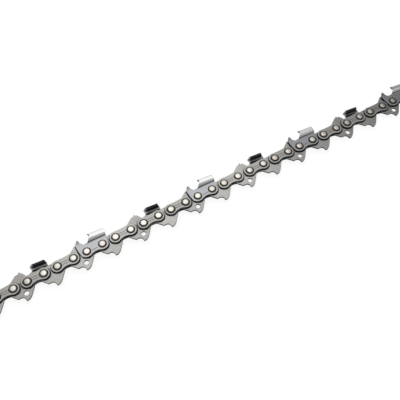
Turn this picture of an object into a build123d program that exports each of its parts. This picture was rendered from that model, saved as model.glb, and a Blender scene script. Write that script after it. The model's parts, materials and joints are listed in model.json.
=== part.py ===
"""A chainsaw chain loop lying on its side: drive links, cutters, tie straps and rivets, in millimetres."""

import math
import os

from build123d import *

# The loop: a rounded rectangle that maps onto itself when it is turned half way round
drive_link_count = 56
long_run_pivot_count = 31
corner_pivot_count = 7
long_run_turn = 0.05

# Every link
drive_hole_spacing = 8.58
side_hole_spacing = 10.06
end_radius = 3.7
end_rise = 0.2
drive_thickness = 1.3
plate_thickness = 1.2
side_clearance = 0.05

# Rivets
hub_radius = 2.1
hub_clearance = 0.05
shank_radius = 1.5
shank_clearance = 0.02
head_radius = 2.5
head_height = 0.6
crown_radius = 1.75
crown_drop = 0.1

# Waist in the edges of the side plates
waist_rise = 1.25
waist_angle = 60
strap_top_dip = 0.35

# Tangs of the drive links, measured down from the rivet line and back from the front rivet
tang_depth = 9.95
tang_tip_front = 3.7
tang_tip_rear = 5.2
tang_wing_depth = 3.5
tang_front_reach = 2.8
tang_rear_reach = 2.95
tang_shoulder_depth = 6.8
tang_shoulder_front = 0.0
tang_notch_radius = 2.25
tang_hip_depth = 7.8
tang_hip_back = 8.1
tang_hole_radius = 1.45
tang_hole_depth = 5.6
tang_hole_back = 5.5

# Guard hump on every other drive link, measured up from the rivet line and back from the front rivet
bumper_height = 7.5
bumper_front = 3.7
bumper_rear = 7.7
bumper_ramp_height = 5.35
bumper_ramp_back = 0.85
bumper_ramp_angle = 120
bumper_foot_angle = 70

# Depth gauge and gullet of the cutters, measured up from the rivet line and back from the front rivet
raker_height = 9.2
raker_tip_front = -2.3
raker_tip_rear = -1.7
raker_brow_height = 8.4
raker_brow_front = -3.1
raker_nose_height = 6.6
raker_nose_front = -4.5
raker_heel_height = 7.8
raker_heel_rear = -1.4
front_knee_height = 1.6
front_knee = -4.3
front_foot_depth = 1.6
front_foot = -3.75
gullet_floor = 4.95
gullet_front = 0.3
gullet_bulge_height = 6.0
gullet_bulge = -0.9
gullet_ramp_height = 7.0
gullet_ramp_front = 2.7
gullet_ramp_back = 4.9

# Tooth of the cutters, a bent plate that flares out from the links and hooks in over them
tooth_height = 10.1
tooth_drop = 1.2
tooth_front = 3.7
tooth_rear = 14.6
tooth_rear_angle = 14
tail_height = 3.4
tail_rear = 14.4
tooth_thickness = 1.15
tooth_corner = 0.6
top_plate_width = 3.4
half_kerf = 3.3
grinding_allowance = 0.2
bend_front_height = 4.75
bend_rear_height = 4.3
flare_front_height = 6.7
flare_rear_height = 5.2
bend_inset = 0.25
tooth_root_height = 2.8
file_radius = 2.3
file_height = 8.2
file_angle = 30

# Layers of the chain, measured from its middle plane
plate_inner = drive_thickness / 2 + side_clearance
plate_outer = plate_inner + plate_thickness
head_top = plate_outer + head_height
tooth_inner = half_kerf - tooth_thickness
top_plate_edge = half_kerf - top_plate_width


def round_end(centre_x, start, stop):
    """The arc of a link's round end between two angles from the chain's own direction."""
    return CenterArc((centre_x, end_rise), end_radius, start, stop - start)


def drive_link(has_bumper):
    """A drive link with its front rivet at the origin and its tang down."""
    rear = drive_hole_spacing
    front_wing = (-tang_front_reach, -tang_wing_depth)
    rear_wing = (rear + tang_rear_reach, -tang_wing_depth)
    hip = (tang_hip_back, -tang_hip_depth)
    shoulder = (tang_shoulder_front, -tang_shoulder_depth)
    notch_back = (tang_tip_front - tang_notch_radius, -tang_shoulder_depth)
    notch_low = (tang_tip_front, -tang_shoulder_depth - tang_notch_radius)
    tip_front = (tang_tip_front, -tang_depth)
    tip_rear = (tang_tip_rear, -tang_depth)
    with BuildPart() as link:
        with BuildSketch(Plane.XY.offset(-drive_thickness / 2)):
            with BuildLine():
                tail = round_end(rear, bumper_foot_angle if has_bumper else 90, 0)
                if has_bumper:
                    nose = round_end(0, 180, bumper_ramp_angle)
                    ramp_middle = (bumper_ramp_back, bumper_ramp_height)
                    ramp = ThreePointArc(nose @ 1, ramp_middle, (bumper_front, bumper_height))
                    Polyline(ramp @ 1, (bumper_rear, bumper_height), tail @ 0)
                else:
                    nose = round_end(0, 180, 90)
                    Line(nose @ 1, tail @ 0)
                rear_edge = Polyline(tail @ 1, rear_wing, hip)
                TangentArc(hip, tip_rear, tangent=rear_edge % 1)
                Polyline(tip_rear, tip_front, notch_low)
                RadiusArc(notch_low, notch_back, -tang_notch_radius)
                Polyline(notch_back, shoulder, front_wing, nose @ 0)
            make_face()
            with Locations((0, 0), (rear, 0)):
                Circle(hub_radius + hub_clearance, mode=Mode.SUBTRACT)
            if has_bumper:
                with Locations((tang_hole_back, -tang_hole_depth)):
                    Circle(tang_hole_radius, mode=Mode.SUBTRACT)
        extrude(amount=drive_thickness)
    return link.part


def tie_strap():
    """The upper plate of a side link, with its front rivet at the origin."""
    rear = side_hole_spacing
    with BuildPart() as strap:
        with BuildSketch(Plane.XY.offset(plate_inner)):
            with BuildLine():
                tail = round_end(rear, 90, waist_angle - 180)
                nose = round_end(0, -waist_angle, -270)
                ThreePointArc(nose @ 1, (rear / 2, end_rise + end_radius - strap_top_dip), tail @ 0)
                lower_edge(tail @ 1, nose @ 0)
            make_face()
            rivet_holes()
        extrude(amount=plate_thickness)
    return strap.part


def lower_edge(rear_end, front_end):
    """The shallow waist between the two round ends of a side plate."""
    waist = end_rise - end_radius + waist_rise
    return ThreePointArc(rear_end, (side_hole_spacing / 2, waist), front_end)


def rivet_holes():
    """The two holes of a side plate."""
    with Locations((0, 0), (side_hole_spacing, 0)):
        Circle(shank_radius + shank_clearance, mode=Mode.SUBTRACT)


def tooth_section(height, bend, flare):
    """The bent plate cut across the chain before its side is ground flat, as heights and widths."""
    raw_side = half_kerf + grinding_allowance
    outside = [
        (tooth_root_height, plate_outer),
        (bend, plate_outer),
        (flare, raw_side),
        (height - tooth_corner, raw_side),
        (height, half_kerf - tooth_corner),
        (height, top_plate_edge),
    ]
    under = height - tooth_thickness
    inner_corner = max(tooth_corner - tooth_thickness / 2, tooth_corner / 4)
    inside = [
        (under, top_plate_edge),
        (under, tooth_inner - inner_corner),
        (under - inner_corner, tooth_inner),
        (flare + bend_inset, tooth_inner),
        (bend + bend_inset, plate_inner),
        (tooth_root_height, plate_inner),
    ]
    return outside + inside


def left_cutter():
    """A cutter that lies above the drive links, with its front rivet at the origin."""
    rear = side_hole_spacing
    edge_rise = math.sqrt(file_radius**2 - (tooth_height - file_height) ** 2)
    file_lean = math.radians(file_angle)
    file_centre = (tooth_front - edge_rise / math.cos(file_lean), file_height, half_kerf)
    file_way = (math.sin(file_lean), 0, -math.cos(file_lean))
    blank_front = file_centre[0]
    ends = [
        (blank_front, tooth_height, bend_front_height, flare_front_height),
        (tooth_rear, tooth_height - tooth_drop, bend_rear_height, flare_rear_height),
    ]
    rear_lean = math.radians(tooth_rear_angle)
    rear_way = (math.cos(rear_lean), 0, -math.sin(rear_lean))
    foot = (front_foot, -front_foot_depth)
    heel = (raker_heel_rear, raker_heel_height)
    with BuildPart() as cutter:
        for station, height, bend, flare in ends:
            across = Plane(origin=(station, 0, 0), x_dir=(0, 1, 0), z_dir=(1, 0, 0))
            with BuildSketch(across):
                with BuildLine():
                    Polyline(tooth_section(height, bend, flare), close=True)
                make_face()
        loft(ruled=True)
        split(bisect_by=Plane.XY.offset(half_kerf), keep=Keep.BOTTOM)
        split(bisect_by=Plane(origin=(tooth_rear, 0, half_kerf), z_dir=rear_way), keep=Keep.BOTTOM)
        with BuildSketch(Plane(origin=file_centre, x_dir=(0, 1, 0), z_dir=file_way)):
            Circle(file_radius)
            Rectangle(2 * file_radius, 2 * file_radius, align=(Align.CENTER, Align.MAX))
        extrude(amount=2 * top_plate_width + half_kerf, both=True, mode=Mode.SUBTRACT)
        with BuildSketch(Plane.XY):
            with BuildLine():
                Polyline(
                    (gullet_ramp_front, gullet_floor),
                    (gullet_ramp_back, gullet_ramp_height),
                    (gullet_front, gullet_ramp_height),
                    (gullet_front, gullet_floor),
                    close=True,
                )
            make_face()
        extrude(amount=half_kerf, mode=Mode.SUBTRACT)
        with BuildSketch(Plane.XY.offset(plate_inner)):
            with BuildLine():
                Polyline(
                    heel,
                    (raker_tip_rear, raker_height),
                    (raker_tip_front, raker_height),
                    (raker_brow_front, raker_brow_height),
                    (raker_nose_front, raker_nose_height),
                    (front_knee, front_knee_height),
                    foot,
                )
                nose = round_end(0, -waist_angle, -90)
                tail = round_end(rear, 0, waist_angle - 180)
                TangentArc(nose @ 1, foot, tangent=nose % 1)
                lower_edge(tail @ 1, nose @ 0)
                Polyline(
                    tail @ 0,
                    (tail_rear, tail_height),
                    (tooth_front + tooth_thickness, tail_height),
                    (tooth_front, gullet_floor),
                    (gullet_front, gullet_floor),
                )
                ThreePointArc((gullet_front, gullet_floor), (gullet_bulge, gullet_bulge_height), heel)
            make_face()
            rivet_holes()
        extrude(amount=plate_thickness)
    return cutter.part


def rivet():
    """A rivet that stands on the chain's middle plane."""
    with BuildPart() as whole:
        with BuildSketch(Plane.XZ):
            with BuildLine():
                Line((0, 0), (0, head_top))
                crown = TangentArc((0, head_top), (crown_radius, head_top - crown_drop), tangent=(1, 0))
                shoulder = TangentArc(crown @ 1, (head_radius, plate_outer), tangent=crown % 1)
                Polyline(
                    shoulder @ 1,
                    (shank_radius, plate_outer),
                    (shank_radius, plate_inner),
                    (hub_radius, plate_inner),
                    (hub_radius, 0),
                    (0, 0),
                )
            make_face()
        revolve(axis=Axis.Z)
        mirror(about=Plane.XY)
    return whole.part


def link_places():
    """The place and direction of each link around the loop, starting where the first long run starts."""
    half_pivot_count = drive_link_count
    short_run_pivot_count = half_pivot_count - long_run_pivot_count - 2 * corner_pivot_count
    corner_turn = (180 - long_run_pivot_count * long_run_turn) / (2 * corner_pivot_count)
    corner = [corner_turn] * corner_pivot_count
    half_turns = [long_run_turn] * long_run_pivot_count + corner + [0] * short_run_pivot_count + corner
    heading = long_run_turn * (long_run_pivot_count - 1) / 2
    point = Vector(0, 0)
    places = []
    for index, turn in enumerate(half_turns * 2):
        places.append((point, heading))
        length = drive_hole_spacing if index % 2 == 0 else side_hole_spacing
        point = point + Vector(length, 0).rotate(Axis.Z, heading)
        heading -= turn
    middle = places[half_pivot_count][0] / 2
    return [Location((p.X - middle.X, p.Y - middle.Y, half_kerf), (0, 0, h)) for p, h in places]


plain_drive = drive_link(has_bumper=False)
bumper_drive = drive_link(has_bumper=True)
upper_strap = tie_strap()
lower_strap = mirror(upper_strap, about=Plane.XY)
upper_cutter = left_cutter()
lower_cutter = mirror(upper_cutter, about=Plane.XY)
one_rivet = rivet()

# Each unit is a drive link and the side link behind it, and the four kinds follow one another round the loop
kinds = [
    ("tie_strap_unit", plain_drive, upper_strap, lower_strap),
    ("right_cutter_unit", bumper_drive, upper_strap, lower_cutter),
    ("tie_strap_unit", plain_drive, upper_strap, lower_strap),
    ("left_cutter_unit", bumper_drive, upper_cutter, lower_strap),
]

os.makedirs("parts", exist_ok=True)
places = link_places()
for number in range(drive_link_count):
    kind, drive, upper, lower = kinds[number % len(kinds)]
    drive_place = places[2 * number]
    side_place = places[2 * number + 1]
    rear_rivet_place = side_place * Location((side_hole_spacing, 0, 0))
    pieces = {
        "drive_link": drive.moved(drive_place),
        "upper_plate": upper.moved(side_place),
        "lower_plate": lower.moved(side_place),
        "front_rivet": one_rivet.moved(side_place),
        "rear_rivet": one_rivet.moved(rear_rivet_place),
    }
    for name, piece in pieces.items():
        piece.label = name
    unit = Compound(label=f"{kind}_{number + 1:02d}", children=list(pieces.values()))
    export_step(unit, f"parts/{unit.label}.step")

print("loop length", round(drive_link_count * (drive_hole_spacing + side_hole_spacing), 1))
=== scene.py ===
import json
import math

import bmesh
import bpy
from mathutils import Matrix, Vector


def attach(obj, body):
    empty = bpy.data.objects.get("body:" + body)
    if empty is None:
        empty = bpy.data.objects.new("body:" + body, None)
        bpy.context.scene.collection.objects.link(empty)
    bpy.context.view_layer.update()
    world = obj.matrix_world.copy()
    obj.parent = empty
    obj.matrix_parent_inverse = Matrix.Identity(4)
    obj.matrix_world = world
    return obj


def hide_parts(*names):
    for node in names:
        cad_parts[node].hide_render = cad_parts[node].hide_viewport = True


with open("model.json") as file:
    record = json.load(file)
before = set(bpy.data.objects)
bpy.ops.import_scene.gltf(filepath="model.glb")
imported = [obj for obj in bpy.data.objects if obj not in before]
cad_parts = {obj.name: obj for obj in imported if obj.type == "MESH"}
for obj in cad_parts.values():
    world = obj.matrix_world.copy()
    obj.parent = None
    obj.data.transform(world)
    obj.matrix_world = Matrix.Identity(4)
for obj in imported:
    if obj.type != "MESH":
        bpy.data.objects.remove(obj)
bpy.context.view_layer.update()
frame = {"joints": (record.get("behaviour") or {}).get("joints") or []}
millimetre = 0.001


# the loop follows the same rule as the solids
chainLoop = {
    "unitCount": 56,
    "longRunPivots": 31,
    "cornerPivots": 7,
    "bowPerPivot": 0.05,  # degrees
    "drivePitch": 8.58,  # millimetres, as all sizes below
    "sidePitch": 10.06,
    "middleHeight": 3.3,
    "kinds": ["tie_strap_unit", "right_cutter_unit", "tie_strap_unit", "left_cutter_unit"],
}


def linkPlaces(rule):
    bow, longRun, corner = rule["bowPerPivot"], rule["longRunPivots"], rule["cornerPivots"]
    shortRun = rule["unitCount"] - longRun - 2 * corner
    cornerTurn = (180 - longRun * bow) / (2 * corner)
    halfTurns = [bow] * longRun + [cornerTurn] * corner + [0] * shortRun + [cornerTurn] * corner
    heading = bow * (longRun - 1) / 2
    point = Vector((0, 0))
    places = []
    for index, turn in enumerate(halfTurns * 2):
        places.append((point.copy(), math.radians(heading)))
        length = rule["sidePitch"] if index % 2 else rule["drivePitch"]
        point += length * Vector((math.cos(math.radians(heading)), math.sin(math.radians(heading))))
        heading -= turn
    middle = places[rule["unitCount"]][0] / 2
    return [(point - middle, heading) for point, heading in places]


places = linkPlaces(chainLoop)
pivots = [Vector(joint["pos_m"][:2]) / millimetre for joint in frame["joints"]]
farthest = max(min((pivot - place[0]).length for place in places) for pivot in pivots)
print(f"loop of {len(places)} links, {farthest:.5f} mm off the solids' pivots at most")


# outlines are in millimetres, counter-clockwise, with the front rivet at the origin and tangs down
def arcPoints(centre, radius, start, stop, steps):
    angles = [math.radians(start + (stop - start) * i / steps) for i in range(steps + 1)]
    return [(centre[0] + radius * math.cos(a), centre[1] + radius * math.sin(a)) for a in angles]


def holePoints(centre, radius, sides):
    # clockwise, as holes are
    return arcPoints(centre, radius, 360, 360 / sides, sides - 1)


def threePointArc(first, middle, last, steps):
    (ax, ay), (bx, by), (cx, cy) = first, middle, last
    area = 2 * (ax * (by - cy) + bx * (cy - ay) + cx * (ay - by))
    a2, b2, c2 = ax * ax + ay * ay, bx * bx + by * by, cx * cx + cy * cy
    ux = (a2 * (by - cy) + b2 * (cy - ay) + c2 * (ay - by)) / area
    uy = (a2 * (cx - bx) + b2 * (ax - cx) + c2 * (bx - ax)) / area
    start, stop = (math.degrees(math.atan2(y - uy, x - ux)) for x, y in (first, last))
    if area > 0:
        stop += 360 if stop < start else 0
    else:
        stop -= 360 if stop > start else 0
    return arcPoints((ux, uy), math.hypot(ax - ux, ay - uy), start, stop, steps)


def tangentArc(start, way, stop, steps):
    along = Vector(way).normalized()
    across = Vector((-along.y, along.x))
    chord = Vector(stop) - Vector(start)
    radius = chord.length_squared / (2 * chord.dot(across))
    centre = Vector(start) + across * radius
    first = math.degrees(math.atan2(start[1] - centre.y, start[0] - centre.x))
    last = math.degrees(math.atan2(stop[1] - centre.y, stop[0] - centre.x))
    if radius > 0 and last < first:
        last += 360
    if radius < 0 and last > first:
        last -= 360
    return arcPoints(centre, abs(radius), first, last, steps)


def rounded(corners, steps=4, sideShare=0.45):
    # corners are (x, y) or (x, y, radius of the rounding), which takes at most that share of a side
    points = []
    count = len(corners)
    for i, corner in enumerate(corners):
        here = Vector(corner[:2])
        if len(corner) == 2:
            points.append(here)
            continue
        before = Vector(corners[i - 1][:2]) - here
        after = Vector(corners[(i + 1) % count][:2]) - here
        half = before.angle(after) / 2
        reach = min(corner[2] / math.tan(half), sideShare * before.length, sideShare * after.length)
        start, stop = here + before.normalized() * reach, here + after.normalized() * reach
        for k in range(steps + 1):
            t = k / steps
            points.append((1 - t) ** 2 * start + 2 * t * (1 - t) * here + t * t * stop)
    return [(p[0], p[1]) for p in points]


def spaced(points, nearest=0.02):
    kept = []
    for point in points:
        if not kept or math.dist(kept[-1], point) > nearest:
            kept.append(point)
    return kept[:-1] if math.dist(kept[-1], kept[0]) <= nearest else kept


def inset(points, distance, sharpest=0.5):
    # a corner sharper than that is moved as if it were blunter, so that it isn't drawn out
    moved = []
    for i, (x, y) in enumerate(points):
        before = (Vector((x, y)) - Vector(points[i - 1])).normalized()
        after = (Vector(points[(i + 1) % len(points)]) - Vector((x, y))).normalized()
        inBefore, inAfter = Vector((-before.y, before.x)), Vector((-after.y, after.x))
        lean = (inBefore + inAfter) / max(1 + inBefore.dot(inAfter), sharpest)
        moved.append((x + distance * lean.x, y + distance * lean.y))
    return moved


def stampedPlate(loops, low, high, lowRoll, highRoll, steps=3, border=0.04):
    # loops: the outline counter-clockwise, then holes clockwise
    sheet = bmesh.new()
    wall = sheet.verts.layers.float.new("wall")
    stations = [(lowRoll + border, low, 0.0)]
    for k in range(steps + 1):
        angle = math.pi / 2 * k / steps
        stations.append((lowRoll * (1 - math.sin(angle)), low + lowRoll * (1 - math.cos(angle)), k / steps))
    for k in range(steps + 1):
        angle = math.pi / 2 * k / steps
        height = high - highRoll * (1 - math.sin(angle))
        stations.append((highRoll * (1 - math.cos(angle)), height, 1 - k / steps))
    stations.append((highRoll + border, high, 0.0))
    lowRims, highRims = [], []
    for points in loops:
        rings = []
        for distance, height, edge in stations:
            ring = [sheet.verts.new((x, y, height)) for x, y in inset(points, distance)]
            for vert in ring:
                vert[wall] = edge
            rings.append(ring)
        count = len(points)
        for under, over in zip(rings, rings[1:]):
            for i in range(count):
                j = (i + 1) % count
                sheet.faces.new((under[i], under[j], over[j], over[i]))
        lowRims.append(rings[0])
        highRims.append(rings[-1])
    for rims, up in ((lowRims, -1), (highRims, 1)):
        edges = [sheet.edges.get((shadedRim[i - 1], shadedRim[i])) for shadedRim in rims for i in range(len(shadedRim))]
        bmesh.ops.triangle_fill(sheet, use_beauty=True, edges=edges, normal=(0, 0, up))
    bmesh.ops.recalc_face_normals(sheet, faces=sheet.faces)
    return sheet


def cutAcross(sheet, way, distances, wanted, slack=1e-5):
    for distance in distances:
        faces = [face for face in sheet.faces if wanted(face)]
        edges = {edge for face in faces for edge in face.edges}
        verts = {vert for face in faces for vert in face.verts}
        bmesh.ops.bisect_plane(
            sheet, geom=faces + list(edges) + list(verts), dist=slack,
            plane_co=Vector(way) * distance, plane_no=way,
        )


sources = bpy.data.collections.new("chainSources")
finishes = {"link": 0, "cutter": 1, "rivet": 2, "edge": 3}
punchedFrom = 0.6  # share of the way from a plate's face to its wall
sharpFrom = 42  # degrees between faces


def asSource(sheet, name, finish, mirrored=False, bright=lambda place: False):
    # the sources are named so that they sort in the order of the pieces' numbers
    if mirrored:
        bmesh.ops.scale(sheet, vec=(1, 1, -1), verts=sheet.verts)
        bmesh.ops.reverse_faces(sheet, faces=sheet.faces)
    layer = sheet.faces.layers.int.new("finish")
    wall, place = sheet.verts.layers.float["wall"], sheet.verts.layers.float_vector["place"]
    for face in sheet.faces:
        punched = all(vert[wall] > punchedFrom and not bright(vert[place]) for vert in face.verts)
        face[layer] = finishes["edge"] if punched else finish
        face.smooth = True
    bmesh.ops.scale(sheet, vec=(millimetre,) * 3, verts=sheet.verts)
    mesh = bpy.data.meshes.new(name)
    sheet.to_mesh(mesh)
    mesh.set_sharp_from_angle(angle=math.radians(sharpFrom))
    sources.objects.link(bpy.data.objects.new(name, mesh))


def markPlaces(sheet, place):
    layer = sheet.verts.layers.float_vector.new("place")
    for vert in sheet.verts:
        vert[layer] = place(vert.co)


driveLink = {
    "thickness": 1.3,
    "endRadius": 3.7,
    "endRise": 0.2,
    "wing": (-2.8, -3.5, 0.8),
    "shoulder": (0.0, -6.8, 0.45),
    "notchRadius": 2.25,
    "notchDepth": 6.8,
    "tipFront": 3.7,
    "tipRear": 5.2,
    "tipRounds": (0.35, 0.5),
    "depth": 9.95,
    "hip": (8.1, -7.8),
    "rearWing": (11.53, -3.5, 0.8),
    "bump": [(7.7, 7.5, 0.6), (3.7, 7.5, 1.2)],
    "bumpFootAngle": 70,
    "ramp": (0.85, 5.35),
    "rampAngle": 120,
    "tangHole": (5.5, -5.6, 1.45),
    "pinHole": 2.15,
    "roll": 0.22,
    "steps": {"back": 8, "notch": 6, "end": 14, "nose": 10, "ramp": 8},  # of the mesh along each arc
    "holeSides": {"pin": 24, "tang": 32},
}


def driveLinkSheet(own, hasBump):
    rear, radius, rise = chainLoop["drivePitch"], own["endRadius"], own["endRise"]
    steps, sides = own["steps"], own["holeSides"]
    notchCentre = (own["tipFront"] - own["notchRadius"], -own["notchDepth"] - own["notchRadius"])
    tip = (own["tipRear"], -own["depth"])
    frontRound, rearRound = own["tipRounds"]
    slope = Vector(own["rearWing"][:2]) - Vector(own["hip"])
    backArc = tangentArc(own["hip"], -slope, tip, steps["back"])
    corners = [(-radius, rise), own["wing"], own["shoulder"]]
    corners += arcPoints(notchCentre, own["notchRadius"], 90, 0, steps["notch"])
    corners += [(own["tipFront"], -own["depth"], frontRound), (*tip, rearRound)] + backArc[-2::-1]
    corners += [own["rearWing"]]
    corners += arcPoints((rear, rise), radius, 0, own["bumpFootAngle"] if hasBump else 90, steps["end"])
    if hasBump:
        nose = arcPoints((0, rise), radius, own["rampAngle"], 180, steps["nose"])
        ramp = threePointArc(own["bump"][1][:2], own["ramp"], nose[0], steps["ramp"])
        corners += own["bump"] + ramp[1:-1] + nose
    else:
        corners += arcPoints((0, rise), radius, 90, 180, steps["end"])
    loops = [spaced(rounded(corners))]
    loops += [holePoints((x, 0), own["pinHole"], sides["pin"]) for x in (0, rear)]
    if hasBump:
        *centre, holeRadius = own["tangHole"]
        loops.append(holePoints(centre, holeRadius, sides["tang"]))
    half = own["thickness"] / 2
    sheet = stampedPlate(loops, -half, half, own["roll"], own["roll"])
    markPlaces(sheet, lambda co: (co.x, co.y, co.z))
    return sheet


asSource(driveLinkSheet(driveLink, False), "link0PlainDrive", finishes["link"])
asSource(driveLinkSheet(driveLink, True), "link1BumperDrive", finishes["link"])
print("drive links made")


tieStrap = {
    "inner": 0.7,
    "outer": 1.9,
    "endRadius": 3.7,
    "endRise": 0.2,
    "waistRise": 1.25,
    "waistAngle": 60,
    "topDip": 0.35,
    "rivetHole": 1.52,
    "roll": 0.3,
    "backRoll": 0.1,
    "lines": (0.85, -0.6),  # heights of the two stamped lines
    "lineHalf": 0.15,
    "lineDepth": 0.16,
    "lineEnds": (2.9, 2.95),
    "linesBelow": 5,
    "slack": 1e-3,  # for finding the vertices on a line
    "steps": {"waist": 12, "end": 30, "top": 10},
    "holeSides": 20,
}


def sidePlateBottom(own):
    radius, rise, angle, rear = own["endRadius"], own["endRise"], own["waistAngle"], chainLoop["sidePitch"]
    front = arcPoints((0, rise), radius, -angle, -angle, 1)[0]
    back = arcPoints((rear, rise), radius, angle - 180, angle - 180, 1)[0]
    middle = (rear / 2, rise - radius + own["waistRise"])
    return threePointArc(front, middle, back, own["steps"]["waist"])


def rivetHoles(own):
    return [holePoints((x, 0), own["rivetHole"], own["holeSides"]) for x in (0, chainLoop["sidePitch"])]


def stampLines(sheet, heights):
    rear, half, face = chainLoop["sidePitch"], tieStrap["lineHalf"], tieStrap["outer"]
    end, start = tieStrap["lineEnds"]
    slack = tieStrap["slack"]

    def onFace(vert):
        return abs(vert.co.z - face) < slack

    def onTop(one):
        return all(onFace(vert) and abs(vert.co.y) < tieStrap["linesBelow"] for vert in one.verts)

    cutAcross(sheet, (0, 1, 0), [line + side for line in heights for side in (-half, 0, half)], onTop)
    cutAcross(sheet, (1, 0, 0), (end, start, rear - start, rear - end), onTop)
    for vert in sheet.verts:
        inLine = any(abs(vert.co.y - line) < slack for line in heights)
        if inLine and onFace(vert) and start - slack < vert.co.x < rear - start + slack:
            vert.co.z -= tieStrap["lineDepth"]


def tieStrapSheet(own):
    radius, rise, angle, rear = own["endRadius"], own["endRise"], own["waistAngle"], chainLoop["sidePitch"]
    top, steps = rise + radius, own["steps"]
    outline = sidePlateBottom(own)
    outline += arcPoints((rear, rise), radius, angle - 180, 90, steps["end"])
    outline += threePointArc((rear, top), (rear / 2, top - own["topDip"]), (0, top), steps["top"])
    outline += arcPoints((0, rise), radius, 90, 360 - angle, steps["end"])
    sheet = stampedPlate(
        [spaced(outline)] + rivetHoles(own), own["inner"], own["outer"], own["backRoll"], own["roll"]
    )
    stampLines(sheet, own["lines"])
    markPlaces(sheet, lambda co: (co.x, co.y, co.z))
    return sheet


asSource(tieStrapSheet(tieStrap), "link2UpperStrap", finishes["link"])
asSource(tieStrapSheet(tieStrap), "link3LowerStrap", finishes["link"], mirrored=True)
print("tie straps made")


cutter = {
    "raker": [(-1.7, 9.2, 0.3), (-2.3, 9.2, 0.4), (-3.1, 8.4, 1.2), (-4.5, 6.6, 0.7), (-4.3, 1.6, 4.0)],
    "foot": (-3.75, -1.6),
    "gulletFloor": 4.92,
    "gulletFront": 0.3,
    "gulletBulge": (-0.9, 6.0),
    "heel": (-1.4, 7.8),
    "gulletRamp": (2.7, 4.9, 7.0),  # its front, back and top
    "tail": (14.3, 3.4, 0.5),
    "toothFront": 3.7,
    "toothRear": 14.6,
    "rearLean": 14,
    "heights": (10.1, 8.9),  # at the front and at the rear, as are the next two
    "bends": (4.75, 4.3),
    "flares": (6.46, 5.09),
    "innerFlareRise": 0.45,
    "innerBendRise": 0.25,
    "corner": (0.45, 0.6),  # between side and top plate, down and back
    "topPlateEdge": -0.1,
    "halfKerf": 3.3,
    "thickness": 1.15,
    "innerCorner": 0.15,
    "fileRadius": 2.3,
    "fileHeight": 8.2,
    "fileLean": 30,
    "sheetKnots": (3.0, 4.75, 6.95, 9.95, 10.95, 13.55),  # heights in the flat sheet before it is bent
    "bendCuts": (-0.6, -0.4, -0.2, 0.0, 0.2, 0.45, 0.75),  # rows of the mesh beside each bend
    "lengthCuts": (5.2, 6.5, 8.5, 10.5, 12.5),
    "bendEase": 0.34,
    "lines": (-0.65,),
    "flatUpTo": 1.0,  # the depth gauge in front of this stays flat
    "bentFrom": (1, 4),  # rows are cut only beyond this place
    "edgeStart": 0.06,  # above the gullet's floor
    "gulletFillet": (0.35, 0.3),  # its length and radius
    "frontShift": 0.8,  # at most, between the outer and the inner face
    "shiftRise": 0.6,  # height over which that comes in
    "topPlateRim": 0.3,  # the top plate's free edge isn't filed
    "pointGap": 0.03,  # the least between points of the outline
    "settleSteps": 30,
    "steps": {"edge": 40, "foot": 8, "nose": 4, "tail": 18, "gullet": 8},
    "roll": 0.14,
}


def eased(knots, position):
    # a polyline with its corners rounded by quadratic curves
    def at(s):
        return Vector(knots[int(s)]).lerp(Vector(knots[int(s) + 1]), s - int(s))

    last = len(knots) - 1
    position = min(max(position, 0.0), last - 1e-6)  # at() needs a knot after it
    knot = round(position)
    ease = cutter["bendEase"]
    if 0 < knot < last and abs(position - knot) < ease:
        t = (position - knot + ease) / (2 * ease)
        first, mid, end = at(knot - ease), Vector(knots[knot]), at(knot + ease)
        return (1 - t) ** 2 * first + 2 * t * (1 - t) * mid + t * t * end
    return at(position)


fileTurn, rearTurn = (math.tan(math.radians(cutter[a])) for a in ("fileLean", "rearLean"))
fileStretch = 1 / math.cos(math.radians(cutter["fileLean"]))
fileRise = math.sqrt(cutter["fileRadius"] ** 2 - (cutter["heights"][0] - cutter["fileHeight"]) ** 2)
fileStart = cutter["toothFront"] - fileRise * fileStretch
topPlateEnd = cutter["sheetKnots"][-1] - cutter["topPlateRim"]
hookLevel = cutter["fileHeight"] + cutter["sheetKnots"][2] - cutter["flares"][0]  # in the flat sheet


def filedFront(height, width):
    # the stamped ramp of the gullet, or the file's round cut where that goes deeper
    (rampFront, rampBack, rampTop), floor = cutter["gulletRamp"], cutter["gulletFloor"]
    share = (height - floor) / (rampTop - floor)
    ramp = rampFront + (rampBack - rampFront) * max(share, 0) if share < 1 else fileStart
    reach = cutter["fileRadius"] ** 2 - (height - cutter["fileHeight"]) ** 2
    if reach < 0:
        return ramp
    return max(ramp, fileStart + (cutter["halfKerf"] - width) * fileTurn + math.sqrt(reach) * fileStretch)


def cutRear(width):
    return cutter["toothRear"] - (cutter["halfKerf"] - width) * rearTurn


def section(x):
    share = min(max((x - fileStart) / (cutter["toothRear"] - fileStart), 0), 1)
    ends = (cutter[name] for name in ("heights", "bends", "flares"))
    height, bend, flare = (front + (rear - front) * share for front, rear in ends)
    base, kerf, edge = cutter["sheetKnots"][0], cutter["halfKerf"], cutter["topPlateEdge"]
    down, back = cutter["corner"]
    innerKerf, under, small = kerf - cutter["thickness"], height - cutter["thickness"], cutter["innerCorner"]
    outside = [
        (base, tieStrap["outer"]), (bend, tieStrap["outer"]), (flare, kerf),
        (height - down, kerf), (height, kerf - back), (height, edge),
    ]
    inside = [
        (base, tieStrap["inner"]), (bend + cutter["innerBendRise"], tieStrap["inner"]),
        (flare + cutter["innerFlareRise"], innerKerf), (under - small, innerKerf),
        (under, innerKerf - small), (under, edge),
    ]
    return outside, inside


def knotPosition(sheetHeight):
    knots = cutter["sheetKnots"]
    for i, (low, high) in enumerate(zip(knots, knots[1:])):
        if sheetHeight <= high:
            return i + (sheetHeight - low) / (high - low)
    return len(knots) - 1.0


def onTooth(x, sheetHeight, depth):
    # where a point of the flat sheet goes when the tooth is bent; depth is 0 outside and 1 inside
    position = knotPosition(sheetHeight)
    outside, inside = section(x)
    outer, inner = eased(outside, position), eased(inside, position)
    return outer.lerp(inner, depth), outer


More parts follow.
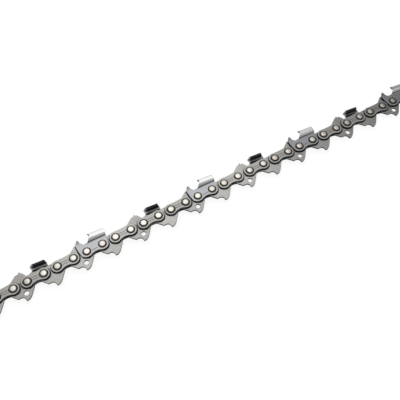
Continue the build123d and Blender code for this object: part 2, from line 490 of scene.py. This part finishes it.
def toothEnds(sheetHeight):
    front, rear = cutter["toothFront"], cutter["toothRear"]
    for _ in range(cutter["settleSteps"]):  # each goes half way, so that it settles
        front = 0.5 * front + 0.5 * filedFront(*onTooth(front, sheetHeight, 0)[1])
    rear = cutRear(onTooth(rear, sheetHeight, 0)[1][1])
    return front, rear


def cutterSheet(own):
    radius, rise, angle = (tieStrap[name] for name in ("endRadius", "endRise", "waistAngle"))
    rear = chainLoop["sidePitch"]
    knots, steps = own["sheetKnots"], own["steps"]
    floor, gap, count = own["gulletFloor"], own["edgeStart"], steps["edge"]
    heights = [floor + gap + (knots[-1] - floor - gap) * i / count for i in range(count + 1)]
    ends = {height: toothEnds(height) for height in heights}
    outline = [own["foot"]]
    outline += tangentArc((0, rise - radius), (-1, 0), own["foot"], steps["foot"])[-2::-1]
    outline += arcPoints((0, rise), radius, -90, -angle, steps["nose"]) + sidePlateBottom(tieStrap)
    outline += arcPoints((rear, rise), radius, angle - 180, 0, steps["tail"]) + [own["tail"]]
    outline += [(ends[height][1], height) for height in heights]
    outline += [(ends[height][0], height) for height in reversed(heights)]
    filletLength, filletRadius = own["gulletFillet"]
    outline += [(ends[heights[0]][0] - filletLength, floor, filletRadius), (own["gulletFront"], floor)]
    gullet = threePointArc((own["gulletFront"], floor), own["gulletBulge"], own["heel"], steps["gullet"])
    outline += gullet[1:] + own["raker"]
    loops = [spaced(rounded(outline), own["pointGap"])] + rivetHoles(tieStrap)
    thickness = tieStrap["outer"] - tieStrap["inner"]
    sheet = stampedPlate(loops, tieStrap["inner"], tieStrap["outer"], own["roll"], own["roll"])
    bentFrom, bentAbove = own["bentFrom"]

    def nearBends(face):
        spots = [vert.co for vert in face.verts]
        return max(co.y for co in spots) > bentAbove and max(co.x for co in spots) > bentFrom

    rows = sorted(knot + step for knot in knots[1:-1] for step in own["bendCuts"])
    cutAcross(sheet, (0, 1, 0), rows, nearBends)
    cutAcross(sheet, (1, 0, 0), own["lengthCuts"], nearBends)
    stampLines(sheet, own["lines"])
    markPlaces(sheet, lambda co: (co.x, co.y, (tieStrap["outer"] - co.z) / thickness))
    place = sheet.verts.layers.float_vector["place"]
    for vert in sheet.verts:
        x, sheetHeight, depth = vert[place]
        if x < own["flatUpTo"] or sheetHeight < knots[0]:
            continue
        point, outer = onTooth(x, sheetHeight, depth)
        shift = 0
        if sheetHeight > floor:
            front, back = toothEnds(sheetHeight)
            share = min(max((x - front) / (back - front), 0), 1)
            atFront = min(filedFront(*point) - filedFront(*outer), own["frontShift"])
            atRear = cutRear(point[1]) - cutRear(outer[1])
            ramp = min((sheetHeight - floor) / own["shiftRise"], 1)
            shift = ramp * (atFront * (1 - share) + atRear * share)
        vert.co = (x + shift, point[0], point[1])
    bmesh.ops.recalc_face_normals(sheet, faces=sheet.faces)
    return sheet


def onFiledTooth(place):
    return place[0] > cutter["flatUpTo"] and cutter["gulletFloor"] < place[1] < topPlateEnd


asSource(cutterSheet(cutter), "link4UpperCutter", finishes["cutter"], bright=onFiledTooth)
asSource(cutterSheet(cutter), "link5LowerCutter", finishes["cutter"], mirrored=True, bright=onFiledTooth)
print("cutters made")


rivet = {
    "headRadius": 2.5,
    "crownRadius": 1.75,
    "crownDrop": 0.06,
    "headHeight": 0.6,
    "shank": 1.5,
    "hub": 2.1,
    "foot": (0.06, 0.05),  # chamfer where the head meets the plate
    "shoulderRise": 0.02,
    "turns": 36,
    "steps": 5,
}


def rivetSheet(own):
    base, steps, radius = tieStrap["outer"], own["steps"], own["headRadius"]
    top = base + own["headHeight"]
    footIn, footUp = own["foot"]
    profile = [(own["hub"], 0.0), (own["hub"], tieStrap["inner"]), (own["shank"], tieStrap["inner"])]
    profile += [(own["shank"], base), (radius - footIn, base), (radius, base + footUp)]
    crownEdge = top - own["crownDrop"]
    start, end = Vector((radius, base + footUp)), Vector((own["crownRadius"], crownEdge))
    shoulder = Vector((radius, crownEdge + own["shoulderRise"]))
    for k in range(1, steps + 1):
        t = k / steps
        point = (1 - t) ** 2 * start + 2 * t * (1 - t) * shoulder + t * t * end
        profile.append((point.x, point.y))
    for k in range(1, steps):
        share = 1 - k / steps
        profile.append((own["crownRadius"] * share, top - own["crownDrop"] * share ** 2))
    profile = [(r, -z) for r, z in reversed(profile[1:])] + profile
    sheet = bmesh.new()
    rings = []
    for r, z in profile:
        turn = [2 * math.pi * k / own["turns"] for k in range(own["turns"])]
        rings.append([sheet.verts.new((r * math.cos(a), r * math.sin(a), z)) for a in turn])
    for under, over in zip(rings, rings[1:]):
        for k in range(own["turns"]):
            j = (k + 1) % own["turns"]
            sheet.faces.new((under[k], under[j], over[j], over[k]))
    for ring, z in ((rings[0], -top), (rings[-1], top)):
        pole = sheet.verts.new((0, 0, z))
        for k in range(own["turns"]):
            sheet.faces.new((ring[k], ring[(k + 1) % own["turns"]], pole))
    bmesh.ops.recalc_face_normals(sheet, faces=sheet.faces)
    sheet.verts.layers.float.new("wall")
    markPlaces(sheet, lambda co: (math.hypot(co.x, co.y), math.atan2(co.y, co.x), abs(co.z)))
    return sheet


asSource(rivetSheet(rivet), "link6Rivet", finishes["rivet"])
print("rivets made")


class Wire:
    def __init__(self, tree, socket=None):
        self.tree, self.socket = tree, socket

    def node(self, kind, settings=None, sockets=None, output=0):
        made = self.tree.nodes.new(kind)
        for name, value in (settings or {}).items():
            setattr(made, name, value)
        for name, value in (sockets or {}).items():
            # a socket is given by its number, its identifier or, if it is in use, its name
            socket = next(
                found for number, found in enumerate(made.inputs)
                if name in (number, found.identifier) or (name == found.name and found.enabled)
            )
            if isinstance(value, Wire):
                self.tree.links.new(value.socket, socket)
            else:
                socket.default_value = value
        return Wire(self.tree, made.outputs[output] if made.outputs else None)

    def math(self, operation, *values):
        return self.node("ShaderNodeMath", {"operation": operation}, dict(enumerate(values)))

    def __add__(self, other):
        return self.math("ADD", self, other)

    def __radd__(self, other):
        return self.math("ADD", other, self)

    def __sub__(self, other):
        return self.math("SUBTRACT", self, other)

    def __rsub__(self, other):
        return self.math("SUBTRACT", other, self)

    def __mul__(self, other):
        return self.math("MULTIPLY", self, other)

    def __rmul__(self, other):
        return self.math("MULTIPLY", other, self)


def between(value, low, high):
    # 0 below low, 1 above high and smooth between them
    limits = {"Value": value, "From Min": low, "From Max": high, "To Min": 0.0, "To Max": 1.0}
    return value.node("ShaderNodeMapRange", {"interpolation_type": "SMOOTHSTEP"}, limits)


def blendColours(share, first, second):
    sockets = {"Factor_Float": share, "A_Color": first, "B_Color": second}
    return share.node("ShaderNodeMix", {"data_type": "RGBA"}, sockets, output=2)


def attribute(wire, name, output="Fac"):
    return wire.node("ShaderNodeAttribute", {"attribute_name": name}, output=output)


def parts(wire, vector):
    return [wire.node("ShaderNodeSeparateXYZ", None, {"Vector": vector}, output=i) for i in range(3)]


def stretched(wire, vector, factors):
    return wire.node("ShaderNodeVectorMath", {"operation": "MULTIPLY"}, {0: vector, 1: factors})


def noise(wire, vector, size):
    scale, detail = size
    return wire.node("ShaderNodeTexNoise", None, {"Vector": vector, "Scale": scale, "Detail": detail})


def newMaterial(name):
    material = bpy.data.materials.new(name)
    material.use_nodes = True
    material.node_tree.nodes.clear()
    return material, Wire(material.node_tree)


bumpDepth = 0.00004  # metres


def finishMaterial(wire, surface, bump, marks):
    relief = {"Strength": bump, "Distance": bumpDepth, "Height": marks}
    surface["Normal"] = wire.node("ShaderNodeBump", None, relief)
    shader = wire.node("ShaderNodeBsdfPrincipled", None, surface)
    wire.node("ShaderNodeOutputMaterial", None, {"Surface": shader})


shadedEdgeBand = (0.3, 0.9)  # of a plate's roll, from its face to its wall, painted near black there: partly the wall's own dark finish, partly painted shade
oilAndShadowFilm = {
    "smudge": (1.1, 3.0),  # scale and detail of its noise, as are all marks below
    "toneShare": 0.25,
    "headWander": 0.7,
    "plateWander": 0.9,
    "shadowFadeUp": 0.4,  # less painted shadow on the cutters' side of the rivet heads
    "shadowFadeBand": (0.6, 2.4),
}
linkSteel = {
    "face": (0.57, 0.565, 0.545, 1),
    "darkFace": (0.43, 0.425, 0.41, 1),
    "edge": (0.02, 0.02, 0.021, 1),
    "oilAndShade": (0.04, 0.034, 0.026, 1),
    "rivetOilAndShadow": (2.6, 2.85),  # oil film and painted contact shadow round the rivet heads, from the rivet's middle
    "plateOilAndShadow": (3.9, 4.5),  # oil film and painted contact shadow on the drive links beside the plates' ends
    "rakerShadow": (3.4, 3.8),  # painted shadow in front of the depth gauges
    "rakerShadowHeight": (-1.0, 0.5, 6.4, 7.0),
    "lineWidth": (0.1, 0.24),
    "roughness": 0.25,
    "roughnessSpread": 0.12,
    "oilRoughness": 0.15,
    "grain": (0.5, 7.0, 3.0),  # rolling marks along the link
    "marks": (1.0, 4.0),
    "mottle": (0.5, 2.0),
    "marksShare": 0.55,
    "toneShare": 0.3,
    "shadeBand": (0.3, 0.75),
    "smudgeStretch": (1.0, 1.0, 3.0),
    "sideBand": (0.1, 0.3),
    "lineShade": 0.75,
    "bump": 0.12,
}


def rivetDistance(wire, x, y, pitch):
    first = wire.math("SQRT", x * x + y * y)
    second = wire.math("SQRT", (x - pitch) * (x - pitch) + y * y)
    return wire.math("MINIMUM", first, second)


def window(value, low, lowTop, high, highTop):
    return between(value, low, lowTop) * (1 - between(value, high, highTop))


def smudges(wire, place, tone):
    return noise(wire, place, oilAndShadowFilm["smudge"]) + oilAndShadowFilm["toneShare"] * (tone - 0.5)


def headOilAndShadow(wire, x, y, smudge, reach):
    # the oil film and painted contact shadow round the rivet heads are lighter on the cutters' side, as the
    # painted shadow falls away from it
    distance = rivetDistance(wire, x, y, chainLoop["sidePitch"])
    near = 1 - between(distance + oilAndShadowFilm["headWander"] * (smudge - 0.5), *reach)
    return near * (1 - oilAndShadowFilm["shadowFadeUp"] * between(y, *oilAndShadowFilm["shadowFadeBand"]))


def stampedLines(wire, x, y, lines, width):
    end, start = tieStrap["lineEnds"]
    rear = chainLoop["sidePitch"]
    within = window(x, end, start, rear - start, rear - end)
    inLines = [1 - between(wire.math("ABSOLUTE", y - line), *width) for line in lines]
    return within * (wire.math("MAXIMUM", *inLines) if len(inLines) > 1 else inLines[0])


def makeLinkSteel(own):
    material, wire = newMaterial("linkSteel")
    place = attribute(wire, "place", "Vector")
    wall = attribute(wire, "wall")
    tone = attribute(wire, "tone")
    x, y, z = parts(wire, place)
    marks = noise(wire, stretched(wire, place, own["grain"]), own["marks"])
    mottle = noise(wire, place, own["mottle"])
    mixed = own["marksShare"] * marks + (1 - own["marksShare"]) * mottle
    shade = between(mixed + own["toneShare"] * (tone - 0.5), *own["shadeBand"])
    colour = blendColours(shade, own["darkFace"], own["face"])
    onPlate = between(wire.math("ABSOLUTE", z), tieStrap["inner"], tieStrap["outer"])
    # the stamped lines are painted dark, as shade in their grooves
    stamped = stampedLines(wire, x, y, tieStrap["lines"], own["lineWidth"])
    smudge = smudges(wire, stretched(wire, place, own["smudgeStretch"]), tone)
    oilAndShadowAroundHeads = headOilAndShadow(wire, x, y, smudge, own["rivetOilAndShadow"])
    wander = oilAndShadowFilm["plateWander"] * (smudge - 0.5)
    # oil and painted contact shadow on the drive links round the plates' ends
    fromPlates = rivetDistance(wire, x, y, chainLoop["drivePitch"]) + wander
    oilAndShadowBesidePlates = 1 - between(fromPlates, *own["plateOilAndShadow"])
    # painted shadow of the depth gauge, on the cutter's side of the drive link only
    onCutterSide = between(attribute(wire, "cutterSide") * z, *own["sideBand"])
    shadowBeforeRaker = onCutterSide * between(x, *own["rakerShadow"]) * window(y, *own["rakerShadowHeight"])
    oilAndShadowOnDrive = wire.math("MAXIMUM", oilAndShadowBesidePlates, shadowBeforeRaker) * (1 - onPlate)
    # this dark colour holds oil and painted shade and shadow together
    oilAndShade = wire.math("MAXIMUM", oilAndShadowAroundHeads, own["lineShade"] * stamped) * onPlate + oilAndShadowOnDrive
    colour = blendColours(oilAndShade, colour, own["oilAndShade"])
    # the walls and rolls are painted near black, partly their own dark finish and partly painted shade
    colour = blendColours(between(wall, *shadedEdgeBand), colour, own["edge"])
    roughness = own["roughness"] + own["roughnessSpread"] * (marks - 0.5) + own["oilRoughness"] * oilAndShade
    surface = {"Base Color": colour, "Roughness": roughness, "Metallic": 1.0}
    finishMaterial(wire, surface, own["bump"], marks)
    return material


cutterSteel = {
    "face": (0.56, 0.565, 0.58, 1),
    "darkFace": (0.40, 0.41, 0.435, 1),
    "rakerShade": (0.25, 0.26, 0.285, 1),
    "bend": (0.1, 0.1, 0.1, 1),
    "flare": (0.38, 0.38, 0.375, 1),
    "litSidePlate": (0.94, 0.94, 0.93, 1),
    "shadedTopPlate": (0.68, 0.68, 0.675, 1),
    "filed": (0.24, 0.24, 0.245, 1),
    "hookShade": (0.05, 0.05, 0.05, 1),
    "inside": (0.30, 0.30, 0.305, 1),
    "under": (0.05, 0.05, 0.05, 1),
    "edge": (0.02, 0.02, 0.022, 1),
    "oilAndShade": (0.032, 0.032, 0.033, 1),
    # oil film and painted contact shadow round the rivet heads
    "rivetOilAndShadow": (2.6, 2.85),
    "lineWidth": (0.1, 0.26),
    "rakerBand": (5.4, 8.6),  # heights in the flat sheet, as are the next six
    "bendAndFlareShadeBand": (4.4, 4.8, 5.2, 6.2),
    "sideBand": (6.6, 7.2),
    "topBand": (10.3, 10.9),
    "insideShadeBand": (4.9, 5.5),
    "underShadeBand": (9.0, 9.6),
    "hookShadeBand": (8.3, 8.8, 10.2, 10.7),
    "hookWidth": (0.6, 1.0),
    "rakerBack": (-0.5, 0.5),
    "toothFrom": (1.2, 2.2),
    "filedRise": 0.4,
    "filedFade": 0.1,
    "outerFace": (0.4, 0.6),  # depths in the sheet, as are the next two
    "outerTooth": (0.2, 0.4),
    "innerTooth": (0.6, 0.8),
    "grain": (0.8, 2.5, 1.0),
    "marks": (1.2, 3.0),
    "toneShare": 0.3,
    "shadeBand": (0.3, 0.7),
    "lineShade": 0.6,
    "roughnessSpread": 0.1,
    "wallRoughness": 0.1,
    "roughness": 0.24,
    "bump": 0.06,
}


def makeCutterSteel(own):
    material, wire = newMaterial("cutterSteel")
    place = attribute(wire, "place", "Vector")
    wall = attribute(wire, "wall")
    tone = attribute(wire, "tone")
    x, sheetHeight, depth = parts(wire, place)
    marks = noise(wire, stretched(wire, place, own["grain"]), own["marks"])
    shade = between(marks + own["toneShare"] * (tone - 0.5), *own["shadeBand"])
    colour = blendColours(shade, own["darkFace"], own["face"])
    onOuterFace = 1 - between(depth, *own["outerFace"])
    raker = between(sheetHeight, *own["rakerBand"]) * (1 - between(x, *own["rakerBack"])) * onOuterFace
    colour = blendColours(raker, colour, own["rakerShade"])
    # the stamped line is painted dark, as shade in its groove
    stamped = stampedLines(wire, x, sheetHeight, cutter["lines"], own["lineWidth"])
    oilAndShadowAroundHeads = headOilAndShadow(wire, x, sheetHeight, smudges(wire, place, tone), own["rivetOilAndShadow"])
    oilAndShade = wire.math("MAXIMUM", oilAndShadowAroundHeads, own["lineShade"] * stamped)
    colour = blendColours(oilAndShade, colour, own["oilAndShade"])
    tooth = between(x, *own["toothFrom"])
    outside = tooth * (1 - between(depth, *own["outerTooth"]))
    # painted shade along the concave bend of the tooth
    low, lowTop, high, highTop = own["bendAndFlareShadeBand"]
    colour = blendColours(outside * between(sheetHeight, low, lowTop), colour, own["bend"])
    # painted shade on the flare, which leans out and down
    colour = blendColours(outside * between(sheetHeight, high, highTop), colour, own["flare"])
    # the chrome side plate is painted near white as the lit copy, the top plate darker as the shaded copy
    colour = blendColours(outside * between(sheetHeight, *own["sideBand"]), colour, own["litSidePlate"])
    colour = blendColours(outside * between(sheetHeight, *own["topBand"]), colour, own["shadedTopPlate"])
    # painted shade along the file's round cut below the top plate
    aboveFile = sheetHeight - hookLevel
    reach = wire.math("MAXIMUM", cutter["fileRadius"] ** 2 - aboveFile * aboveFile, 0.0)
    fromHook = x - fileStart - fileStretch * wire.math("SQRT", reach)
    hookShade = outside * (1 - between(fromHook, *own["hookWidth"])) * window(sheetHeight, *own["hookShadeBand"])
    colour = blendColours(hookShade, colour, own["hookShade"])
    # painted shade on the tooth's inner faces, near black under the top plate
    inside = tooth * between(depth, *own["innerTooth"])
    colour = blendColours(inside * between(sheetHeight, *own["insideShadeBand"]), colour, own["inside"])
    colour = blendColours(inside * between(sheetHeight, *own["underShadeBand"]), colour, own["under"])
    floor = cutter["gulletFloor"]
    rise, fade = own["filedRise"], own["filedFade"]
    filed = tooth * window(sheetHeight, floor, floor + rise, topPlateEnd, topPlateEnd + fade)
    # the walls are painted dark, partly as painted shade, and less dark where the tooth is filed
    edge = between(wall, *shadedEdgeBand)
    colour = blendColours(edge * filed, colour, own["filed"])
    colour = blendColours(edge * (1 - filed), colour, own["edge"])
    roughness = own["roughness"] + own["roughnessSpread"] * (marks - 0.5) + own["wallRoughness"] * wall
    surface = {"Base Color": colour, "Roughness": roughness, "Metallic": 1.0}
    finishMaterial(wire, surface, own["bump"], marks)
    return material


rivetSteel = {
    "dome": (0.98, 0.95, 0.89, 1),
    "domeShade": (0.82, 0.77, 0.695, 1),
    "shadedDomeEdge": (0.46, 0.4, 0.34, 1),
    "domeShadeReach": (1.2, 1.75),
    "shadedRim": (0.045, 0.038, 0.03, 1),
    "wornRim": (0.14, 0.125, 0.105, 1),
    "rimReach": (1.68, 1.92),
    "grain": (2.2, 0.6, 1.0),
    "marks": (1.0, 3.0),
    "toneShare": 0.5,
    "shadeBand": (0.3, 0.6),
    "wornGrain": (0.6, 2.2, 2.0),
    "wornMarks": (1.0, 4.0),
    "wornToneShare": 0.3,
    "wornBand": (0.55, 0.75),
    "roughnessSpread": 0.12,
    "rimRoughness": 0.15,
    "roughness": 0.2,
    "bump": 0.1,
}


def makeRivetSteel(own):
    material, wire = newMaterial("rivetSteel")
    place = attribute(wire, "place", "Vector")
    radius = parts(wire, place)[0]
    tone = attribute(wire, "tone")
    marks = noise(wire, stretched(wire, place, own["grain"]), own["marks"])
    shade = between(marks + own["toneShare"] * (tone - 0.5), *own["shadeBand"])
    colour = blendColours(shade, own["domeShade"], own["dome"])
    # the dome darkens towards its edge: partly the head's brownish tint, partly painted shade
    colour = blendColours(between(radius, *own["domeShadeReach"]), colour, own["shadedDomeEdge"])
    # painted shade: the head's shoulder is painted near black
    shadedRim = between(radius, *own["rimReach"])
    wornMarks = noise(wire, stretched(wire, place, own["wornGrain"]), own["wornMarks"])
    worn = between(wornMarks + own["wornToneShare"] * (tone - 0.5), *own["wornBand"])
    colour = blendColours(shadedRim, colour, own["shadedRim"])
    colour = blendColours(shadedRim * worn, colour, own["wornRim"])
    roughness = own["roughness"] + own["roughnessSpread"] * (marks - 0.5) + own["rimRoughness"] * shadedRim
    surface = {"Base Color": colour, "Roughness": roughness, "Metallic": 1.0}
    finishMaterial(wire, surface, own["bump"], marks)
    return material


# the punched walls: near black, partly their own dark scale and partly painted shade
shadedEdgeSteel = {
    "scale": (0.016, 0.016, 0.017, 1),
    "worn": (0.04, 0.039, 0.038, 1),
    "grain": (6.0, 6.0, 0.8),  # punching marks through the thickness
    "marks": (0.8, 3.0),
    "wornBand": (0.45, 0.8),
    "roughnessSpread": 0.2,
    "roughness": 0.55,
    "specular": 0.25,
    "bump": 0.2,
}


def makeShadedEdgeSteel(own):
    material, wire = newMaterial("shadedEdgeSteel")
    place = attribute(wire, "place", "Vector")
    marks = noise(wire, stretched(wire, place, own["grain"]), own["marks"])
    colour = blendColours(between(marks, *own["wornBand"]), own["scale"], own["worn"])
    roughness = own["roughness"] + own["roughnessSpread"] * (marks - 0.5)
    surface = {
        "Base Color": colour, "Roughness": roughness, "Metallic": 0.0, "Specular IOR Level": own["specular"],
    }
    finishMaterial(wire, surface, own["bump"], marks)
    return material


materials = {
    "Link steel": makeLinkSteel(linkSteel),
    "Cutter steel": makeCutterSteel(cutterSteel),
    "Rivet steel": makeRivetSteel(rivetSteel),
    "Shaded edge steel": makeShadedEdgeSteel(shadedEdgeSteel),
}
print("finishes made")


chainUnit = {
    "Tone seed": 7,
    "Rivet turn": 2 * math.pi,
    "slots": {
        "tie_strap_unit": "link_steel",
        "right_cutter_unit": "cutter_steel",
        "left_cutter_unit": "cutter_steel",
    },
    "sourceNumbers": {
        "plainDrive": 0, "bumperDrive": 1, "upperStrap": 2, "lowerStrap": 3,
        "upperCutter": 4, "lowerCutter": 5, "rivet": 6,
    },
    "cutterSides": (0, -1, 0, 1),  # below or above the drive link, by kind
}


def kindOf(number):
    return chainLoop["kinds"][number % len(chainLoop["kinds"])]


def piecesOf(number):
    kind = kindOf(number)
    source = chainUnit["sourceNumbers"]
    drive = source["bumperDrive" if number % 2 else "plainDrive"]
    upper = source["upperCutter" if kind == "left_cutter_unit" else "upperStrap"]
    lower = source["lowerCutter" if kind == "right_cutter_unit" else "lowerStrap"]
    rivetSource = source["rivet"]
    drivePlace, sidePlace = places[2 * number], places[2 * number + 1]
    rearPivot = places[(2 * number + 2) % len(places)][0]
    return [
        (drive, *drivePlace), (upper, *sidePlace), (lower, *sidePlace),
        (rivetSource, *sidePlace), (rivetSource, rearPivot, sidePlace[1]),
    ]


def makePoints():
    rows = [(number, *piece) for number in range(chainLoop["unitCount"]) for piece in piecesOf(number)]
    mesh = bpy.data.meshes.new("chainPoints")
    height, sides = chainLoop["middleHeight"], chainUnit["cutterSides"]
    mesh.from_pydata([Vector((*point, height)) * millimetre for _, _, point, _ in rows], [], [])
    values = {
        "unit": ("INT", [row[0] for row in rows]),
        "piece": ("INT", [row[1] for row in rows]),
        "heading": ("FLOAT", [row[3] for row in rows]),
        "serial": ("INT", list(range(len(rows)))),
        "cutterSide": ("FLOAT", [sides[row[0] % len(sides)] for row in rows]),
    }
    for name, (kind, numbers) in values.items():
        mesh.attributes.new(name, kind, "POINT").data.foreach_set("value", numbers)
    return mesh


def makeUnitTree():
    # puts the five pieces of one unit on their points
    tree = bpy.data.node_groups.new("chainUnit", "GeometryNodeTree")
    kinds = {
        "Points": "NodeSocketGeometry", "Unit number": "NodeSocketInt", "Links": "NodeSocketCollection",
        "Tone seed": "NodeSocketInt", "Rivet turn": "NodeSocketFloat", "Link steel": "NodeSocketMaterial",
        "Cutter steel": "NodeSocketMaterial", "Rivet steel": "NodeSocketMaterial",
        "Shaded edge steel": "NodeSocketMaterial",
    }
    names = {name: tree.interface.new_socket(name=name, in_out="INPUT", socket_type=kind).identifier
             for name, kind in kinds.items()}
    tree.interface.new_socket(name="Unit", in_out="OUTPUT", socket_type="NodeSocketGeometry")
    wire = Wire(tree)
    given = tree.nodes.new("NodeGroupInput")
    inputs = {name: Wire(tree, given.outputs[name]) for name in kinds}

    def stored(name, kind="INT"):
        return wire.node("GeometryNodeInputNamedAttribute", {"data_type": kind}, {"Name": name})

    def same(first, second):
        settings = {"data_type": "INT", "operation": "EQUAL"}
        return wire.node("FunctionNodeCompare", settings, {"A_INT": first, "B_INT": second})

    def chance(low, high):
        sockets = {"Min_001": low, "Max_001": high, "ID": stored("serial"), "Seed": inputs["Tone seed"]}
        return wire.node("FunctionNodeRandomValue", {"data_type": "FLOAT"}, sockets, output=1)

    chosen = {"Geometry": inputs["Points"], "Selection": same(stored("unit"), inputs["Unit number"])}
    points = wire.node("GeometryNodeSeparateGeometry", {"domain": "POINT"}, chosen)
    shelf = {"Collection": inputs["Links"], "Separate Children": True, "Reset Children": True}
    links = wire.node("GeometryNodeCollectionInfo", None, shelf)
    isRivet = same(stored("piece"), chainUnit["sourceNumbers"]["rivet"])
    turn = stored("heading", "FLOAT") + isRivet * chance(0.0, inputs["Rivet turn"])
    euler = wire.node("ShaderNodeCombineXYZ", None, {"Z": turn})
    rotation = wire.node("FunctionNodeEulerToRotation", None, {0: euler})
    placed = wire.node("GeometryNodeInstanceOnPoints", None, {
        "Points": points, "Instance": links, "Pick Instance": True,
        "Instance Index": stored("piece"), "Rotation": rotation,
    })
    toned = wire.node("GeometryNodeStoreNamedAttribute", {"data_type": "FLOAT", "domain": "INSTANCE"}, {
        "Geometry": placed, "Name": "tone", "Value": chance(0.0, 1.0),
    })
    whole = wire.node("GeometryNodeRealizeInstances", None, {"Geometry": toned})
    for name, number in zip(materials, finishes.values()):
        painted = {"Geometry": whole, "Selection": same(stored("finish"), number), "Material": inputs[name]}
        whole = wire.node("GeometryNodeSetMaterial", None, painted)
    wire.node("NodeGroupOutput", None, {0: whole})
    return tree, names


unitTree, unitInputs = makeUnitTree()
chainPoints = makePoints()
triangles = 0
for number in range(chainLoop["unitCount"]):
    kind = kindOf(number)
    node = f"{kind}_{number + 1:02d}"
    maker = bpy.data.objects.new("unitMaker", chainPoints)
    bpy.context.scene.collection.objects.link(maker)
    modifier = maker.modifiers.new("chainUnit", "NODES")
    modifier.node_group = unitTree
    given = {
        "Unit number": number, "Links": sources, "Tone seed": chainUnit["Tone seed"],
        "Rivet turn": chainUnit["Rivet turn"], **materials,
    }
    for name, value in given.items():
        modifier[unitInputs[name]] = value
    graph = bpy.context.evaluated_depsgraph_get()
    made = maker.evaluated_get(graph)
    mesh = bpy.data.meshes.new_from_object(made, preserve_all_data_layers=True, depsgraph=graph)
    maker.modifiers.remove(modifier)
    bpy.data.objects.remove(maker)
    mesh.name = f"chain_{node}"
    piece = bpy.data.objects.new(f"chain_{node}", mesh)
    bpy.context.scene.collection.objects.link(piece)
    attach(piece, node)
    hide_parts(node)
    triangles += sum(len(face.vertices) - 2 for face in mesh.polygons)
print("units made,", triangles, "triangles")


studio = {
    "floorSize": 6.0,
    "floorDrop": 0.00005,
    "floorWhite": 0.94,
    "floorGlow": 0.88,
    "skyLevel": 0.88,
    "patches": [  # of the sky: level, way, and the degrees off that way from nothing to full
        (0.5, (0.166, 0.454, 0.875), (46.0, 33.0)),
        (1.18, (0.166, 0.454, 0.875), (16.8, 6.0)),
        (0.1, (0.817, 0.37, 0.72), (15.6, 11.4)),
    ],
    "lampPlace": (0.05, 0.35, 0.75),
    "lampAim": (0, 0.05, 0),
    "lampSize": 0.7,
    "lampPower": 4.3,
    "cameraPlace": (-0.1127, -0.0870, 0.3538),
    "cameraTurn": (30.5, 0.0, -30.01),
    "lens": 60.0,
    "sensor": 36.0,
    "clip": (0.01, 20.0),
}


def makeFloor(own):
    half = own["floorSize"] / 2
    corners = [(x * half, y * half, -own["floorDrop"]) for x, y in ((-1, -1), (1, -1), (1, 1), (-1, 1))]
    mesh = bpy.data.meshes.new("floor")
    mesh.from_pydata(corners, [], [(0, 1, 2, 3)])
    material, wire = newMaterial("floorWhite")
    white = own["floorWhite"]
    paint = wire.node("ShaderNodeBsdfDiffuse", None, {"Color": (white, white, white, 1)})
    glow = wire.node("ShaderNodeEmission", None, {"Color": (1, 1, 1, 1), "Strength": 1.0})
    seen = wire.node("ShaderNodeLightPath", output="Is Camera Ray")
    for name in ("Is Glossy Ray", "Is Transmission Ray"):
        seen = wire.math("MAXIMUM", seen, wire.node("ShaderNodeLightPath", output=name))
    mixed = wire.node("ShaderNodeMixShader", None, {0: seen * own["floorGlow"], 1: paint, 2: glow})
    wire.node("ShaderNodeOutputMaterial", None, {"Surface": mixed})
    mesh.materials.append(material)
    floor = bpy.data.objects.new("floor", mesh)
    bpy.context.scene.collection.objects.link(floor)


def makeLight(own):
    world = bpy.data.worlds.new("studio")
    bpy.context.scene.world = world
    world.use_nodes = True
    world.node_tree.nodes.clear()
    wire = Wire(world.node_tree)
    seenWay = wire.node("ShaderNodeTexCoord", output="Generated")
    level = own["skyLevel"]
    for patchLevel, way, reach in own["patches"]:
        both = {0: seenWay, 1: Vector(way).normalized()}
        toward = wire.node("ShaderNodeVectorMath", {"operation": "DOT_PRODUCT"}, both, output="Value")
        share = between(toward, *(math.cos(math.radians(angle)) for angle in reach))
        level = level * (1 - share) + patchLevel * share
    seen = wire.node("ShaderNodeLightPath", output="Is Camera Ray")
    white = {"Color": (1, 1, 1, 1), "Strength": level * (1 - seen) + seen}
    light = wire.node("ShaderNodeBackground", None, white)
    wire.node("ShaderNodeOutputWorld", None, {"Surface": light})
    lamp = bpy.data.lights.new("softbox", "AREA")
    lamp.size, lamp.energy = own["lampSize"], own["lampPower"]
    holder = bpy.data.objects.new("softbox", lamp)
    holder.location = own["lampPlace"]
    aim = Vector(own["lampAim"]) - Vector(own["lampPlace"])
    holder.rotation_euler = aim.to_track_quat("-Z", "Y").to_euler()
    holder.visible_glossy = False  # it only softens the shadow on the floor
    bpy.context.scene.collection.objects.link(holder)


def makeCamera(own):
    lens = bpy.data.cameras.new("camera")
    lens.lens, lens.sensor_width = own["lens"], own["sensor"]
    lens.clip_start, lens.clip_end = own["clip"]
    camera = bpy.data.objects.new("camera", lens)
    camera.location = own["cameraPlace"]
    camera.rotation_euler = [math.radians(turn) for turn in own["cameraTurn"]]
    bpy.context.scene.collection.objects.link(camera)
    bpy.context.scene.camera = camera


makeFloor(studio)
makeLight(studio)
makeCamera(studio)
bpy.context.scene.view_settings.view_transform = "Standard"
print("studio made")

bpy.context.view_layer.update()
